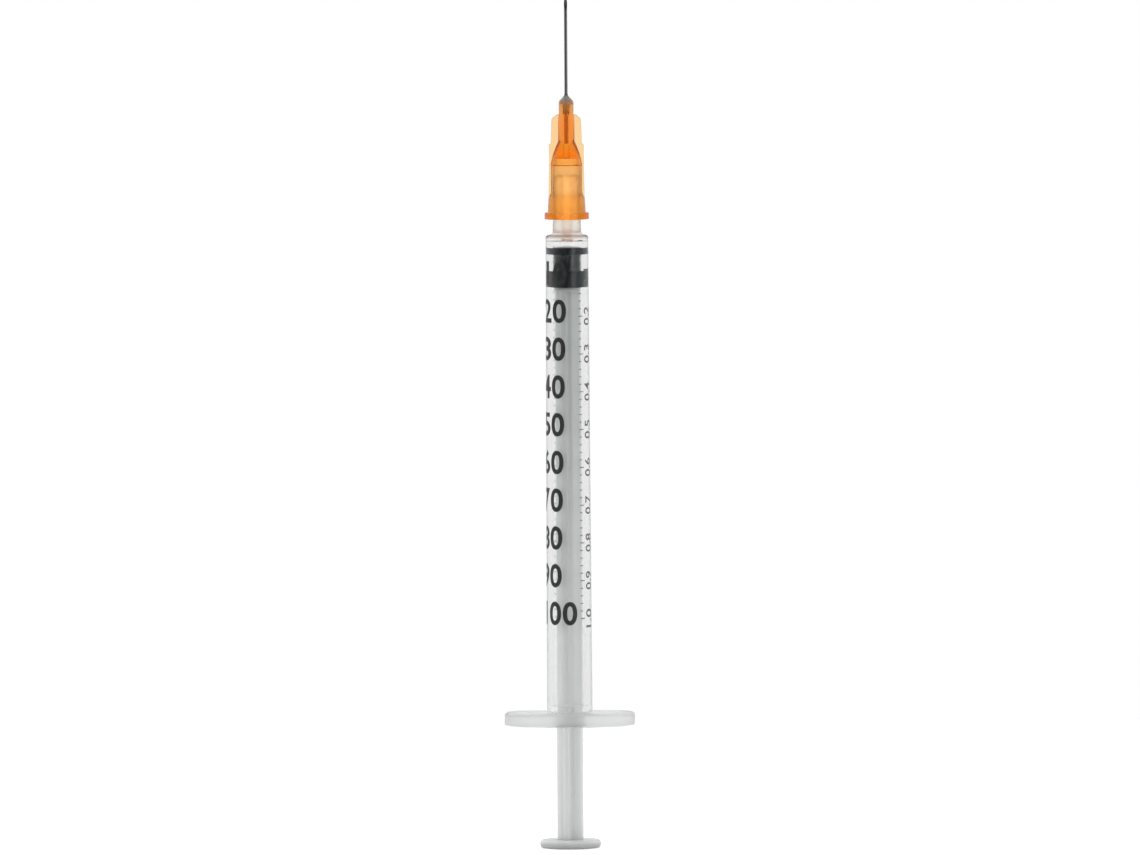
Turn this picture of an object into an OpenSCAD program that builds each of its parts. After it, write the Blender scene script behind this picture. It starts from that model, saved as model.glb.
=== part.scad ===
// Insulin syringe of 1 mL with a detachable needle, standing on its thumb disk with the point up.
// The axis is Z, the underside of the thumb disk is z = 0, and the finger flange lies along X.

/* [Thumb disk] */
// Diameter of the thumb disk
disk_d = 9.5; // [8:0.1:12]
// Thickness of the thumb disk
disk_h = 1.2; // [1:0.05:2]
// Radius of the disk's rounded rim edges
disk_edge_r = 0.4; // [0.1:0.05:0.45]

/* [Plunger rod] */
// Distance from the disk's underside to the stopper's rear face
rod_l = 87.5; // [80:0.5:95]
// Width across two opposite ribs
rod_span = 4.1; // [3.6:0.1:4.3]
// Thickness of a rib
rib_t = 1.0; // [0.7:0.05:1.3]
// Radius of the fillets between the ribs
rib_fillet_r = 0.3; // [0.1:0.05:0.5]
// Radius of the edges along each rib's tip
rib_edge_r = 0.15; // [0.05:0.05:0.3]
// Turn of the ribs about the axis, in degrees
rod_turn = -18; // [-45:1:45]
// Diameter of the collar that pushes the stopper
collar_d = 4.1; // [3.6:0.1:4.3]
// Thickness of the collar
collar_h = 0.6; // [0.4:0.1:1]
// Diameter of the neck inside the stopper
neck_d = 1.7; // [1.2:0.1:2]
// Length of the neck inside the stopper
neck_l = 1.6; // [1.2:0.1:2]
// Diameter of the button that holds the stopper
button_d = 2.6; // [2.3:0.1:2.8]
// Height of the button
button_h = 1.5; // [1:0.1:1.8]

/* [Stopper] */
// Length of the stopper with its nose
stopper_l = 6.4; // [5.5:0.05:8]
// Height of the stopper's conical nose
nose_h = 0.15; // [0.1:0.05:0.5]
// Length of the front sealing rib
front_rib_l = 1.15; // [0.8:0.05:1.5]
// Length of the rear sealing rib
rear_rib_l = 2.65; // [2:0.05:3]
// Diameter of the waist between the ribs
waist_d = 4.3; // [4:0.05:4.4]
// Bevel at the edges of the ribs
rib_bevel = 0.1; // [0.05:0.05:0.3]

/* [Barrel] */
// Diameter of the bore
bore_d = 4.64; // [4.6:0.02:5]
// Length of the bore, from the flange's underside to the rim of the end face
bore_l = 75.87; // [70:0.5:85]
// Outside diameter where the tube meets the flange
tube_root_d = 7.08; // [6.9:0.02:7.6]
// Outside diameter at the shoulder
tube_top_d = 6.65; // [6.5:0.05:6.9]
// Thickness of the wall between the bore's end and the shoulder
end_wall = 0.75; // [0.6:0.05:1.5]
// Radius of the shoulder's outer edge
shoulder_r = 0.45; // [0.2:0.05:0.5]
// Gap between the stopper and the bore's end at rest
rest_gap = 1.0; // [0.5:0.05:3]
// Width of the ridge that keeps the stopper in
ridge_w = 0.6; // [0.4:0.1:1]
// Height of that ridge above the bore's wall
ridge_h = 0.1; // [0.05:0.01:0.12]
// Distance from the flange's underside to the ridge
ridge_up = 2.6; // [2:0.1:6]
// Bevel at the bore's open end
mouth_bevel = 0.35; // [0.2:0.05:0.6]

/* [Finger flange] */
// Length of the flange, along X
flange_l = 20.3; // [18:0.1:26]
// Width of the flange, along Y
flange_w = 10; // [9.5:0.1:13]
// Thickness of the flange at its middle
flange_h = 2.05; // [1.8:0.05:3]
// Rise of the crowned underside from the middle to the flange's ends
flange_crown = 0.25; // [0.1:0.05:0.5]
// Radius of the flange's corners, seen from above
flange_corner_r = 4.2; // [2:0.1:4.7]
// Radius of the flange's upper edges
flange_top_r = 0.5; // [0.2:0.05:0.6]
// Radius of the flange's lower edges
flange_low_r = 0.3; // [0.1:0.05:0.4]
// Radius of the fillet between the flange and the tube
flange_fillet_r = 0.25; // [0.1:0.05:0.6]

/* [Luer slip tip] */
// Diameter of the tip's small end
tip_d = 3.9; // [3.8:0.02:4.1]
// Length of the tip, from the shoulder to its small end
tip_l = 9.25; // [8:0.05:11]
// Loss of diameter for each unit of length
taper_share = 0.06; // [0.04:0.005:0.08]
// Radius of the fillet between the tip and the shoulder
tip_fillet_r = 0.6; // [0.2:0.05:0.65]
// Diameter of the passage through the tip
nozzle_d = 1.3; // [1:0.1:1.8]
// Bevel at the tip's small end
tip_bevel = 0.15; // [0.05:0.05:0.3]

/* [Needle hub] */
// Distance from the shoulder to the hub's mouth
hub_up = 2.5; // [1.5:0.05:4]
// Diameter of the hub's flange
hub_flange_d = 6.9; // [6.5:0.1:8]
// Thickness of the hub's flange
hub_flange_h = 1.0; // [0.7:0.05:1.5]
// Diameter of the hub's skirt above its flange
skirt_root_d = 5.92; // [5.8:0.02:6.4]
// Diameter of the skirt at its top
skirt_top_d = 5.7; // [5.4:0.05:5.8]
// Height of the skirt above the flange
skirt_h = 1.9; // [1:0.1:3]
// Height of the flare between the skirt and the hub's body
flare_h = 1.4; // [0.6:0.1:2]
// Diameter of the hub's body
hub_body_d = 4.9; // [4.8:0.05:5.3]
// Space between the luer tip's end and the bottom of the hub's socket
tip_room = 1.65; // [0.5:0.05:2.5]
// Diameter of the narrow room above the socket
room_d = 3.1; // [2.4:0.1:3.5]
// Height of that room
room_h = 1.05; // [0.5:0.05:1.5]
// Height of the bell-shaped shoulder above the socket
bell_h = 3.75; // [3:0.05:5]
// Fullness of the bell, from 1 for a plain cone
bell_share = 1.5; // [1.2:0.1:2.5]
// Diameter of the core that holds the cannula
core_d = 2.58; // [2.4:0.02:2.8]
// Height of the core from the bell up to its top
core_l = 5.95; // [5.5:0.05:8]
// Diameter of the core at its top
core_top_d = 2.3; // [2.1:0.05:2.4]
// Height over which the core narrows, below the fins' top
core_neck_h = 1.4; // [0.5:0.1:2]
// Thickness of the fins
fin_t = 0.7; // [0.5:0.05:1]
// Width across the fins at the hub's flange
fin_foot_span = 5.76; // [5.6:0.02:5.9]
// Width across the fins' lower step, above the socket
fin_low_span = 5.38; // [5.2:0.02:5.6]
// Width across the fins' upper step
fin_top_span = 4.86; // [4.5:0.02:5.1]
// Draft of the fins' upper step, off each side
fin_draft = 0.15; // [0:0.05:0.25]
// Distance from the core's top down to the fins' top
fin_down = 1.75; // [1.5:0.05:2.5]
// Width of the slope at the fins' top corners
fin_slope_w = 0.85; // [0.4:0.05:1]
// Height of that slope
fin_slope_h = 0.75; // [0.3:0.05:1]
// Distance from the bell's top up to the fins' step
fin_step_up = -0.45; // [-0.8:0.05:0.5]
// Diameter of the passage between the socket and the cannula
throat_d = 0.8; // [0.6:0.05:1.4]
// Length of that passage
throat_l = 3.2; // [2.5:0.05:3.6]
// Diameter of the glue well at the core's top
well_d = 1.5; // [1.1:0.05:1.7]
// Depth of the glue well
well_l = 2.2; // [2.1:0.05:3.5]

/* [Cannula and glue] */
// Outside diameter of the cannula
cannula_d = 0.5; // [0.4:0.01:0.6]
// Diameter of the cannula's passage
lumen_d = 0.26; // [0.2:0.01:0.3]
// Length of the cannula that stands out of the hub's core
cannula_out = 16.7; // [12:0.1:20]
// Angle between the cannula's main bevel and its axis, in degrees
bevel_angle = 12; // [10:0.5:20]
// Angle between the two side bevels and the axis, in degrees
side_angle = 17; // [14:0.5:24]
// Turn of the side bevels from the main one, in degrees
side_turn = 38; // [20:1:50]
// Height of the glue above the hub's core
bead_h = 1.4; // [0.8:0.05:2]
// Depth of the glue in its well
plug_l = 1.7; // [0.8:0.1:2]

/* [Hidden] */
$fn = 96;

// Clearances on each side: rod in stopper, stopper in bore, tip in socket, glued faces
turn_gap = 0.03;
bore_gap = 0.02;
luer_gap = 0.02;
glue_gap = 0.01;
// How far a cut runs past the face that it opens
over = 0.5;
// Steps along a curved outline
steps = 12;
// Hole that the cannula is glued into
hole_d = cannula_d + 2 * glue_gap;

// Places along the axis
stopper_z = rod_l;
stopper_top = stopper_z + stopper_l;
bore_end = stopper_top + rest_gap;
flange_z = bore_end - bore_l;
flange_top = flange_z + flange_h;
shoulder_z = bore_end + end_wall;
tip_top = shoulder_z + tip_l;
hub_z = shoulder_z + hub_up;
socket_top = tip_top + tip_room;
bell_top = socket_top + bell_h;
core_top = bell_top + core_l;
well_z = core_top - well_l;
cannula_z = socket_top + throat_l;
cannula_top = core_top + cannula_out;

// Diameter at a height of the luer tip, of the socket that fits it and of the glue well
function tip_d_at(z) = tip_d + (tip_top - z) * taper_share;
function socket_d_at(z) = tip_d_at(z) + 2 * luer_gap;
function well_d_at(z) = hole_d + (well_d - hole_d) * (z - well_z) / well_l;

// Points on an arc about [x, z], from one angle to another
function arc(x, z, r, from, to) =
    [for (i = [0:steps]) let (a = from + (to - from) * i / steps) [x + r * cos(a), z + r * sin(a)]];

module thumb_disk() {
    rim_x = disk_d / 2 - disk_edge_r;
    rotate_extrude()
        polygon(concat(
            [[0, 0]],
            arc(rim_x, disk_edge_r, disk_edge_r, -90, 0),
            arc(rim_x, disk_h - disk_edge_r, disk_edge_r, 0, 90),
            [[0, disk_h]]
        ));
}

// One bar of the cross, with rounded edges along both tips
module rib_bar() {
    square([rod_span, rib_t - 2 * rib_edge_r], center = true);
    square([rod_span - 2 * rib_edge_r, rib_t], center = true);
    for (x = [-1, 1], y = [-1, 1])
        translate([x * (rod_span / 2 - rib_edge_r), y * (rib_t / 2 - rib_edge_r)])
            circle(r = rib_edge_r);
}

// Square block at the middle of the cross, hollowed at its corners into the fillets
module rib_roots() {
    reach = rib_t / 2 + rib_fillet_r;
    difference() {
        square(2 * reach, center = true);
        for (x = [-1, 1], y = [-1, 1])
            translate([x * reach, y * reach])
                circle(r = rib_fillet_r);
    }
}

module plunger_rod() {
    collar_z = stopper_z - turn_gap - collar_h;
    neck_z = stopper_z - turn_gap;
    button_z = stopper_z + neck_l;
    color([0.86, 0.87, 0.87]) {
        thumb_disk();
        translate([0, 0, disk_h / 2])
            rotate([0, 0, rod_turn])
                linear_extrude(collar_z + collar_h / 2 - disk_h / 2) {
                    rib_bar();
                    rotate([0, 0, 90])
                        rib_bar();
                    rib_roots();
                }
        rotate_extrude()
            polygon([
                [0, collar_z],
                [collar_d / 2, collar_z],
                [collar_d / 2, neck_z],
                [neck_d / 2, neck_z],
                [neck_d / 2, button_z],
                [button_d / 2, button_z],
                [button_d / 2, button_z + button_h / 3],
                [neck_d / 2, button_z + button_h],
                [0, button_z + button_h]
            ]);
    }
}

// The button's outline grown by the turning clearance, open at the stopper's rear face
module stopper_socket() {
    neck_r = neck_d / 2 + turn_gap;
    button_r = button_d / 2 + turn_gap;
    button_z = stopper_z + neck_l - turn_gap;
    button_top = stopper_z + neck_l + button_h + turn_gap;
    rotate_extrude()
        polygon([
            [0, stopper_z - over],
            [neck_r, stopper_z - over],
            [neck_r, button_z],
            [button_r, button_z],
            [button_r, button_z + button_h / 3 + 2 * turn_gap],
            [neck_r, button_top],
            [0, button_top]
        ]);
}

module stopper() {
    rib_r = bore_d / 2 - bore_gap;
    waist_r = waist_d / 2;
    rear_top = stopper_z + rear_rib_l;
    front_z = stopper_top - nose_h - front_rib_l;
    color([0.08, 0.09, 0.1])
        difference() {
            rotate_extrude()
                polygon([
                    [0, stopper_z],
                    [rib_r - rib_bevel, stopper_z],
                    [rib_r, stopper_z + rib_bevel],
                    [rib_r, rear_top - rib_bevel],
                    [waist_r, rear_top],
                    [waist_r, front_z],
                    [rib_r, front_z + rib_bevel],
                    [rib_r, stopper_top - nose_h - rib_bevel],
                    [rib_r - rib_bevel, stopper_top - nose_h],
                    [0, stopper_top]
                ]);
            stopper_socket();
        }
}

// Half of the flange's cross-section, from its middle out to the rounded edges
module flange_edge(reach) {
    square([reach - max(flange_top_r, flange_low_r), flange_h]);
    translate([0, flange_low_r])
        square([reach, flange_h - flange_low_r - flange_top_r]);
    translate([reach - flange_top_r, flange_h - flange_top_r])
        circle(r = flange_top_r);
    translate([reach - flange_low_r, flange_low_r])
        circle(r = flange_low_r);
    square([reach - flange_low_r, flange_low_r]);
}

// A plate with round corners and rounded edges, its underside crowned along X
module finger_flange() {
    crown_run = flange_l / 2;
    crown_r = (crown_run * crown_run + flange_crown * flange_crown) / (2 * flange_crown);
    bar_l = flange_l - 2 * flange_corner_r;
    bar_w = flange_w - 2 * flange_corner_r;
    translate([0, 0, flange_z])
        intersection() {
            union() {
                for (side = [0, 180])
                    rotate([0, 0, side]) {
                        translate([-bar_l / 2, 0, 0])
                            rotate([90, 0, 90])
                                linear_extrude(bar_l)
                                    flange_edge(flange_w / 2);
                        translate([bar_l / 2, bar_w / 2, 0])
                            rotate([90, 0, 0])
                                linear_extrude(bar_w)
                                    flange_edge(flange_corner_r);
                    }
                for (corner = [0:3])
                    translate([
                        bar_l / 2 * (corner == 0 || corner == 3 ? 1 : -1),
                        bar_w / 2 * (corner < 2 ? 1 : -1),
                        0
                    ])
                        rotate([0, 0, 90 * corner])
                            rotate_extrude(angle = 90)
                                flange_edge(flange_corner_r);
            }
            translate([0, flange_w / 2 + over, 0])
                rotate([90, 0, 0])
                    linear_extrude(flange_w + 2 * over)
                        intersection() {
                            translate([-flange_l / 2 - over, 0])
                                square([flange_l + 2 * over, flange_h]);
                            translate([0, crown_r])
                                circle(r = crown_r, $fn = 8 * $fn);
                        }
        }
}

module barrel() {
    root_r = tube_root_d / 2;
    top_r = tube_top_d / 2;
    tip_root_r = tip_d_at(shoulder_z + tip_fillet_r) / 2;
    fillet_r = min(tip_fillet_r, top_r - shoulder_r - tip_root_r);
    color([0.9, 0.92, 0.93, 0.4]) {
        difference() {
            union() {
                finger_flange();
                rotate_extrude()
                    polygon(concat(
                        [[0, flange_z + flange_h / 2], [root_r, flange_z + flange_h / 2]],
                        arc(root_r + flange_fillet_r, flange_top + flange_fillet_r, flange_fillet_r, 270, 180),
                        arc(top_r - shoulder_r, shoulder_z - shoulder_r, shoulder_r, 0, 90),
                        arc(tip_root_r + fillet_r, shoulder_z + fillet_r, fillet_r, 270, 180),
                        [
                            [tip_d_at(tip_top - tip_bevel) / 2, tip_top - tip_bevel],
                            [tip_d / 2 - tip_bevel, tip_top],
                            [0, tip_top]
                        ]
                    ));
            }
            taper_cut(flange_z - over, bore_end - nose_h, bore_d, bore_d);
            taper_cut(bore_end - nose_h, bore_end, bore_d, nozzle_d);
            taper_cut(bore_end - nose_h, tip_top + over, nozzle_d, nozzle_d);
            taper_cut(flange_z - mouth_bevel, flange_z + mouth_bevel, bore_d + 4 * mouth_bevel, bore_d);
        }
        stopper_ridge();
    }
}

// Low ring inside the bore, sloped towards the mouth, that stops the stopper from coming out
module stopper_ridge() {
    wall_r = bore_d / 2;
    ridge_z = flange_z + ridge_up;
    rotate_extrude()
        polygon([
            [wall_r - ridge_h, ridge_z + ridge_w],
            [wall_r - ridge_h, ridge_z + ridge_w / 2],
            [wall_r, ridge_z],
            [wall_r + ridge_h, ridge_z],
            [wall_r + ridge_h, ridge_z + ridge_w]
        ]);
}

// Radius of the flare and of the bell, each at a share of its height
function flare_r(share) = hub_body_d / 2 + (skirt_top_d - hub_body_d) / 2 * (1 + cos(180 * share)) / 2;
function bell_r(share) = core_d / 2 + (hub_body_d - core_d) / 2 * (1 - pow(share, bell_share));

module hub_body() {
    skirt_z = hub_z + hub_flange_h;
    flare_z = skirt_z + skirt_h;
    neck_z = core_top - fin_down;
    rotate_extrude()
        polygon(concat(
            [
                [0, hub_z],
                [hub_flange_d / 2, hub_z],
                [hub_flange_d / 2, skirt_z],
                [skirt_root_d / 2, skirt_z]
            ],
            [for (i = [0:steps]) [flare_r(i / steps), flare_z + flare_h * i / steps]],
            [for (i = [0:steps]) [bell_r(i / steps), socket_top + bell_h * i / steps]],
            [
                [core_d / 2, neck_z - core_neck_h],
                [core_top_d / 2, neck_z],
                [core_top_d / 2, core_top],
                [0, core_top]
            ]
        ));
}

// Both fins in one plate, stepped and with sloped top corners
module hub_fins() {
    low_x = fin_low_span / 2;
    top_x = fin_top_span / 2;
    step_z = bell_top + fin_step_up;
    fin_top = core_top - fin_down;
    right = [
        [fin_foot_span / 2, hub_z + hub_flange_h],
        [low_x, socket_top],
        [low_x, step_z],
        [top_x, step_z],
        [top_x - fin_draft, fin_top - fin_slope_h],
        [top_x - fin_draft - fin_slope_w, fin_top]
    ];
    left = [for (i = [len(right) - 1:-1:0]) [-right[i].x, right[i].y]];
    translate([0, fin_t / 2, 0])
        rotate([90, 0, 0])
            linear_extrude(fin_t)
                polygon(concat(right, left));
}

// Round cut from one height to another, straight or tapered
module taper_cut(from_z, to_z, from_d, to_d) {
    translate([0, 0, from_z])
        cylinder(d1 = from_d, d2 = to_d, h = to_z - from_z);
}

module needle_hub() {
    color([0.95, 0.6, 0.3, 0.8])
        difference() {
            union() {
                hub_body();
                hub_fins();
            }
            taper_cut(hub_z - over, socket_top, socket_d_at(hub_z - over), socket_d_at(socket_top));
            taper_cut(socket_top - over, socket_top + room_h, room_d, room_d);
            taper_cut(socket_top - over, cannula_z, throat_d, throat_d);
            taper_cut(cannula_z - over, core_top, hole_d, hole_d);
            taper_cut(well_z, core_top + over, hole_d, well_d_at(core_top + over));
        }
}

// A block whose flat underside leans back from the axis by an angle, for grinding the point
module grinding_block(angle, size) {
    rotate([90 - angle, 0, 0])
        translate([-size / 2, -size, 0])
            cube([size, 2 * size, size]);
}

module cannula() {
    length = cannula_top - cannula_z;
    block = 2 * cannula_out;
    color([0.62, 0.64, 0.66])
        difference() {
            translate([0, 0, cannula_z])
                cylinder(d = cannula_d, h = length);
            translate([0, 0, cannula_z - over])
                cylinder(d = lumen_d, h = length + 2 * over);
            translate([0, cannula_d / 2, cannula_top])
                grinding_block(bevel_angle, block);
            for (side = [-1, 1])
                rotate([0, 0, side * side_turn])
                    translate([0, cannula_d / 2 * cos(side_turn), cannula_top])
                        grinding_block(side_angle, block);
        }
}

// Outer radius of the glue at a share of its height
function bead_r(share) = cannula_d / 2 + (core_top_d - cannula_d) / 2 * (1 + cos(180 * share)) / 2;

module adhesive_bead() {
    plug_z = core_top - plug_l;
    foot_z = core_top + glue_gap;
    bead_top = foot_z + bead_h;
    color([0.62, 0.6, 0.54])
        difference() {
            rotate_extrude()
                polygon(concat(
                    [
                        [0, plug_z],
                        [well_d_at(plug_z) / 2 - glue_gap, plug_z],
                        [well_d_at(foot_z) / 2 - glue_gap, foot_z]
                    ],
                    [for (i = [0:steps]) [bead_r(i / steps), foot_z + bead_h * i / steps]],
                    [[0, bead_top]]
                ));
            taper_cut(plug_z - over, bead_top + over, hole_d, hole_d);
        }
}

plunger_rod();
stopper();
barrel();
needle_hub();
cannula();
adhesive_bead();
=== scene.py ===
import math

import bmesh
import bpy
from mathutils import Matrix, Vector


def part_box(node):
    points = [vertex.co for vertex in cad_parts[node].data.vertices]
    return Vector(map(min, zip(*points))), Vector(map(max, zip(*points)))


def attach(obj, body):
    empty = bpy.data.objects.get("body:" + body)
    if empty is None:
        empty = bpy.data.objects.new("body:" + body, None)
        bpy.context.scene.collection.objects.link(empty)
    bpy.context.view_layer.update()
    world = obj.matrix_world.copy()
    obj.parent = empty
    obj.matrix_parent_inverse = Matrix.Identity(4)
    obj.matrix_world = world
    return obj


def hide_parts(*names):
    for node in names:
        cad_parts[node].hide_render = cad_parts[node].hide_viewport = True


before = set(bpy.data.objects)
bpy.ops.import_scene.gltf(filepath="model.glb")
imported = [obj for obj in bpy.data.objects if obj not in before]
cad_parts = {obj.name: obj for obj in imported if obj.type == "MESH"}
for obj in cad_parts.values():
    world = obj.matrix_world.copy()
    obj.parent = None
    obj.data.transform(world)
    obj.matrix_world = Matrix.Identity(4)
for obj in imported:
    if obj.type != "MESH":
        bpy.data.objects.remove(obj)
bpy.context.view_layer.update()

# Pieces are shaped in millimetres on the syringe's axis, and scaled to metres as they are finished
mm = 0.001
weldGap = 0.0005  # points closer than this are one point
micronPlaces = 3  # decimals of a millimetre


def nodeHeight(node, end):
    # Height of a node's foot (end 0) or top (end 1), from the frame
    return round(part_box(node)[end][2] / mm, micronPlaces)


print("Frame loaded")


# Mesh helpers

def arcPoints(centreR, centreZ, radius, fromAngle, toAngle, count=6):
    # Points of an arc in the r-z plane, angles in degrees
    turns = [math.radians(fromAngle + (toAngle - fromAngle) * i / count) for i in range(count + 1)]
    return [(centreR + radius * math.cos(a), centreZ + radius * math.sin(a)) for a in turns]


def linePoints(start, end, count):
    # Evenly spaced points of a straight line in the r-z plane
    return [(start[0] + (end[0] - start[0]) * i / count, start[1] + (end[1] - start[1]) * i / count)
            for i in range(count + 1)]


def spinProfile(points, steps, closed=False):
    # Turns a line of (r, z) points into a skin round the axis
    bm = bmesh.new()
    verts = [bm.verts.new((r, 0, z)) for r, z in points]
    pairs = list(zip(verts, verts[1:])) + ([(verts[-1], verts[0])] if closed else [])
    edges = [bm.edges.new(pair) for pair in pairs]
    bmesh.ops.spin(bm, geom=verts + edges, axis=(0, 0, 1), cent=(0, 0, 0), angle=math.tau,
                   steps=steps, use_merge=True)
    bmesh.ops.remove_doubles(bm, verts=bm.verts, dist=weldGap)
    bmesh.ops.dissolve_degenerate(bm, edges=bm.edges, dist=weldGap / 5)
    bmesh.ops.recalc_face_normals(bm, faces=bm.faces)
    return bm


def openLoops(bm):
    # The open borders of a skin, lowest first
    left = {e for e in bm.edges if e.is_boundary}
    loops = []
    while left:
        loop = [left.pop()]
        ends = set(loop[0].verts)
        grown = True
        while grown:
            grown = [e for e in left if ends & set(e.verts)]
            left -= set(grown)
            loop += grown
            ends |= {v for e in grown for v in e.verts}
        loops.append(loop)
    return sorted(loops, key=lambda loop: sum(v.co.z for e in loop for v in e.verts) / len(loop))


def growLoop(bm, loop, place):
    # Extrudes an open border and puts its new points where place says
    new = bmesh.ops.extrude_edge_only(bm, edges=loop)["geom"]
    for vert in (g for g in new if isinstance(g, bmesh.types.BMVert)):
        vert.co = place(vert.co)
    return [g for g in new if isinstance(g, bmesh.types.BMEdge)]


def uniteShells(shells):
    # Joins closed shells into one skin
    solids = []
    for i, bm in enumerate(shells):
        mesh = bpy.data.meshes.new(f"shell{i}")
        bm.to_mesh(mesh)
        bm.free()
        solids.append(bpy.data.objects.new(f"shell{i}", mesh))
        bpy.context.scene.collection.objects.link(solids[-1])
    for other in solids[1:]:
        union = solids[0].modifiers.new("unite", "BOOLEAN")
        union.operation = "UNION"
        union.solver = "EXACT"
        union.object = other
    depsgraph = bpy.context.evaluated_depsgraph_get()
    joined = bmesh.new()
    joined.from_object(solids[0], depsgraph)
    for solid in solids:
        mesh = solid.data
        bpy.data.objects.remove(solid)
        bpy.data.meshes.remove(mesh)
    bmesh.ops.remove_doubles(joined, verts=joined.verts, dist=weldGap)
    bmesh.ops.dissolve_degenerate(joined, edges=joined.edges, dist=weldGap / 5)
    return joined


def extrudeOutline(points, height, place):
    # A closed prism over an outline in the xy plane, then put in place
    bm = bmesh.new()
    face = bm.faces.new([bm.verts.new((x, y, 0)) for x, y in points])
    side = bmesh.ops.extrude_face_region(bm, geom=[face])["geom"]
    top = [g for g in side if isinstance(g, bmesh.types.BMVert)]
    bmesh.ops.translate(bm, verts=top, vec=(0, 0, height))
    bmesh.ops.recalc_face_normals(bm, faces=bm.faces)
    bmesh.ops.transform(bm, matrix=place, verts=bm.verts)
    return bm


def sliceMesh(bm, point, normal, clear=False):
    # Cuts the faces along a plane and gives the cut. clear takes away what lies beyond it
    return bmesh.ops.bisect_plane(bm, geom=bm.verts[:] + bm.edges[:] + bm.faces[:], dist=weldGap / 10,
                                  plane_co=point, plane_no=normal, clear_outer=clear)["geom_cut"]


def bevelEdges(bm, edges, width, segments):
    # Rounds edges, leaving width on the faces beside them
    bmesh.ops.bevel(bm, geom=edges, offset=width, offset_type="OFFSET", segments=segments, profile=0.5,
                    affect="EDGES", material=-1, clamp_overlap=True)


def finishPiece(name, bm, material, body, nodes=(), sharpAngle=35):
    # Makes a shape an object in metres that rides on a body, fills a slot and replaces CAD nodes
    bmesh.ops.scale(bm, vec=(mm, mm, mm), verts=bm.verts)
    mesh = bpy.data.meshes.new(name)
    bm.to_mesh(mesh)
    bm.free()
    mesh.materials.append(material)
    mesh.shade_smooth()
    mesh.set_sharp_from_angle(angle=math.radians(sharpAngle))
    piece = bpy.data.objects.new(name, mesh)
    bpy.context.scene.collection.objects.link(piece)
    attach(piece, body)
    if nodes:
        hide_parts(*nodes)
    print(f"{name}: {len(mesh.polygons)} faces")


# Shared effects

effects = {
    "flowFrom": 0.3, "flowTo": 0.7, "bendReach": 0.0012, "scratchStretch": 0.04, "scratchFrom": 0.60,
    "scratchTo": 0.66,
}


def feed(tree, socket, value):
    # Sets a socket to a plain value, or links it to the output of another node
    if isinstance(value, bpy.types.NodeSocket):
        tree.links.new(value, socket)
    else:
        socket.default_value = value


def addMath(tree, operation, *values):
    # Each value is a number or the output of another node
    node = tree.nodes.new("ShaderNodeMath")
    node.operation = operation
    for socket, value in zip(node.inputs, values):
        feed(tree, socket, value)
    return node.outputs[0]


def addVector(tree, operation, *values):
    # Each value is a vector or the output of another node
    node = tree.nodes.new("ShaderNodeVectorMath")
    node.operation = operation
    for socket, value in zip(node.inputs, values):
        feed(tree, socket, value)
    return node.outputs["Value" if operation == "LENGTH" else "Vector"]


def addRange(tree, value, low, high, toLow=0, toHigh=1, kind="LINEAR"):
    # Maps a value from one range to another and clamps it there
    node = tree.nodes.new("ShaderNodeMapRange")
    node.interpolation_type = kind
    limits = {"Value": value, "From Min": low, "From Max": high, "To Min": toLow, "To Max": toHigh}
    for label, limit in limits.items():
        feed(tree, node.inputs[label], limit)
    return node.outputs["Result"]


def addNoise(tree, place, **values):
    # Noise over a place, with the values given and Blender's own for the rest
    node = tree.nodes.new("ShaderNodeTexNoise")
    tree.links.new(place, node.inputs["Vector"])
    for label, value in values.items():
        feed(tree, node.inputs[label], value)
    return node


def newGroup(name, inputs, output):
    # An empty group, its inputs, the socket that it puts out, and the place on the piece
    group = bpy.data.node_groups.new(name, "ShaderNodeTree")
    for label, value in inputs.items():
        socket = group.interface.new_socket(name=label, in_out="INPUT", socket_type="NodeSocketFloat")
        socket.default_value = value
    group.interface.new_socket(name=output, in_out="OUTPUT", socket_type="NodeSocketFloat")
    given, put = group.nodes.new("NodeGroupInput"), group.nodes.new("NodeGroupOutput")
    return group, given.outputs, put.inputs[output], group.nodes.new("ShaderNodeTexCoord").outputs["Object"]


def makeFlowGroup():
    # Cloudy flow marks of a moulding, drawn out along Z. Scale counts them in a metre
    inputs = {"Scale": 400, "Stretch": 0.3, "Low": 0, "High": 1}
    group, given, put, place = newGroup("mouldFlow", inputs, "Value")
    stretch = group.nodes.new("ShaderNodeCombineXYZ")
    for axis, share in (("X", 1), ("Y", 1), ("Z", given["Stretch"])):
        feed(group, stretch.inputs[axis], share)
    drawn = addVector(group, "MULTIPLY", place, stretch.outputs[0])
    noise = addNoise(group, drawn, Scale=given["Scale"], Detail=5, Roughness=0.6).outputs["Fac"]
    marks = addRange(group, noise, effects["flowFrom"], effects["flowTo"], given["Low"], given["High"])
    group.links.new(marks, put)
    return group


def makeScratchGroup():
    # Fine handling scratches that run mostly along the piece
    group, given, put, place = newGroup("hairScratches", {"Scale": 300, "Amount": 0.5}, "Height")
    bend = addNoise(group, place, Scale=60)
    bent = addVector(group, "MULTIPLY_ADD", bend.outputs["Color"], [effects["bendReach"]] * 3, place)
    drawn = addVector(group, "MULTIPLY", bent, (1, 1, effects["scratchStretch"]))
    cells = addNoise(group, drawn, Scale=given["Scale"])
    lines = addRange(group, cells.outputs["Fac"], effects["scratchFrom"], effects["scratchTo"])
    group.links.new(addMath(group, "MULTIPLY", lines, given["Amount"]), put)
    return group


def makeMaskGroup(name, axes):
    # 0 up to one distance and 1 from another, in millimetres. axes says which ways it is measured
    group, given, put, place = newGroup(name, {"From": 0, "To": 1}, "Value")
    reach = addVector(group, "LENGTH", addVector(group, "MULTIPLY", place, [axis / mm for axis in axes]))
    group.links.new(addRange(group, reach, given["From"], given["To"], kind="SMOOTHSTEP"), put)
    return group


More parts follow.
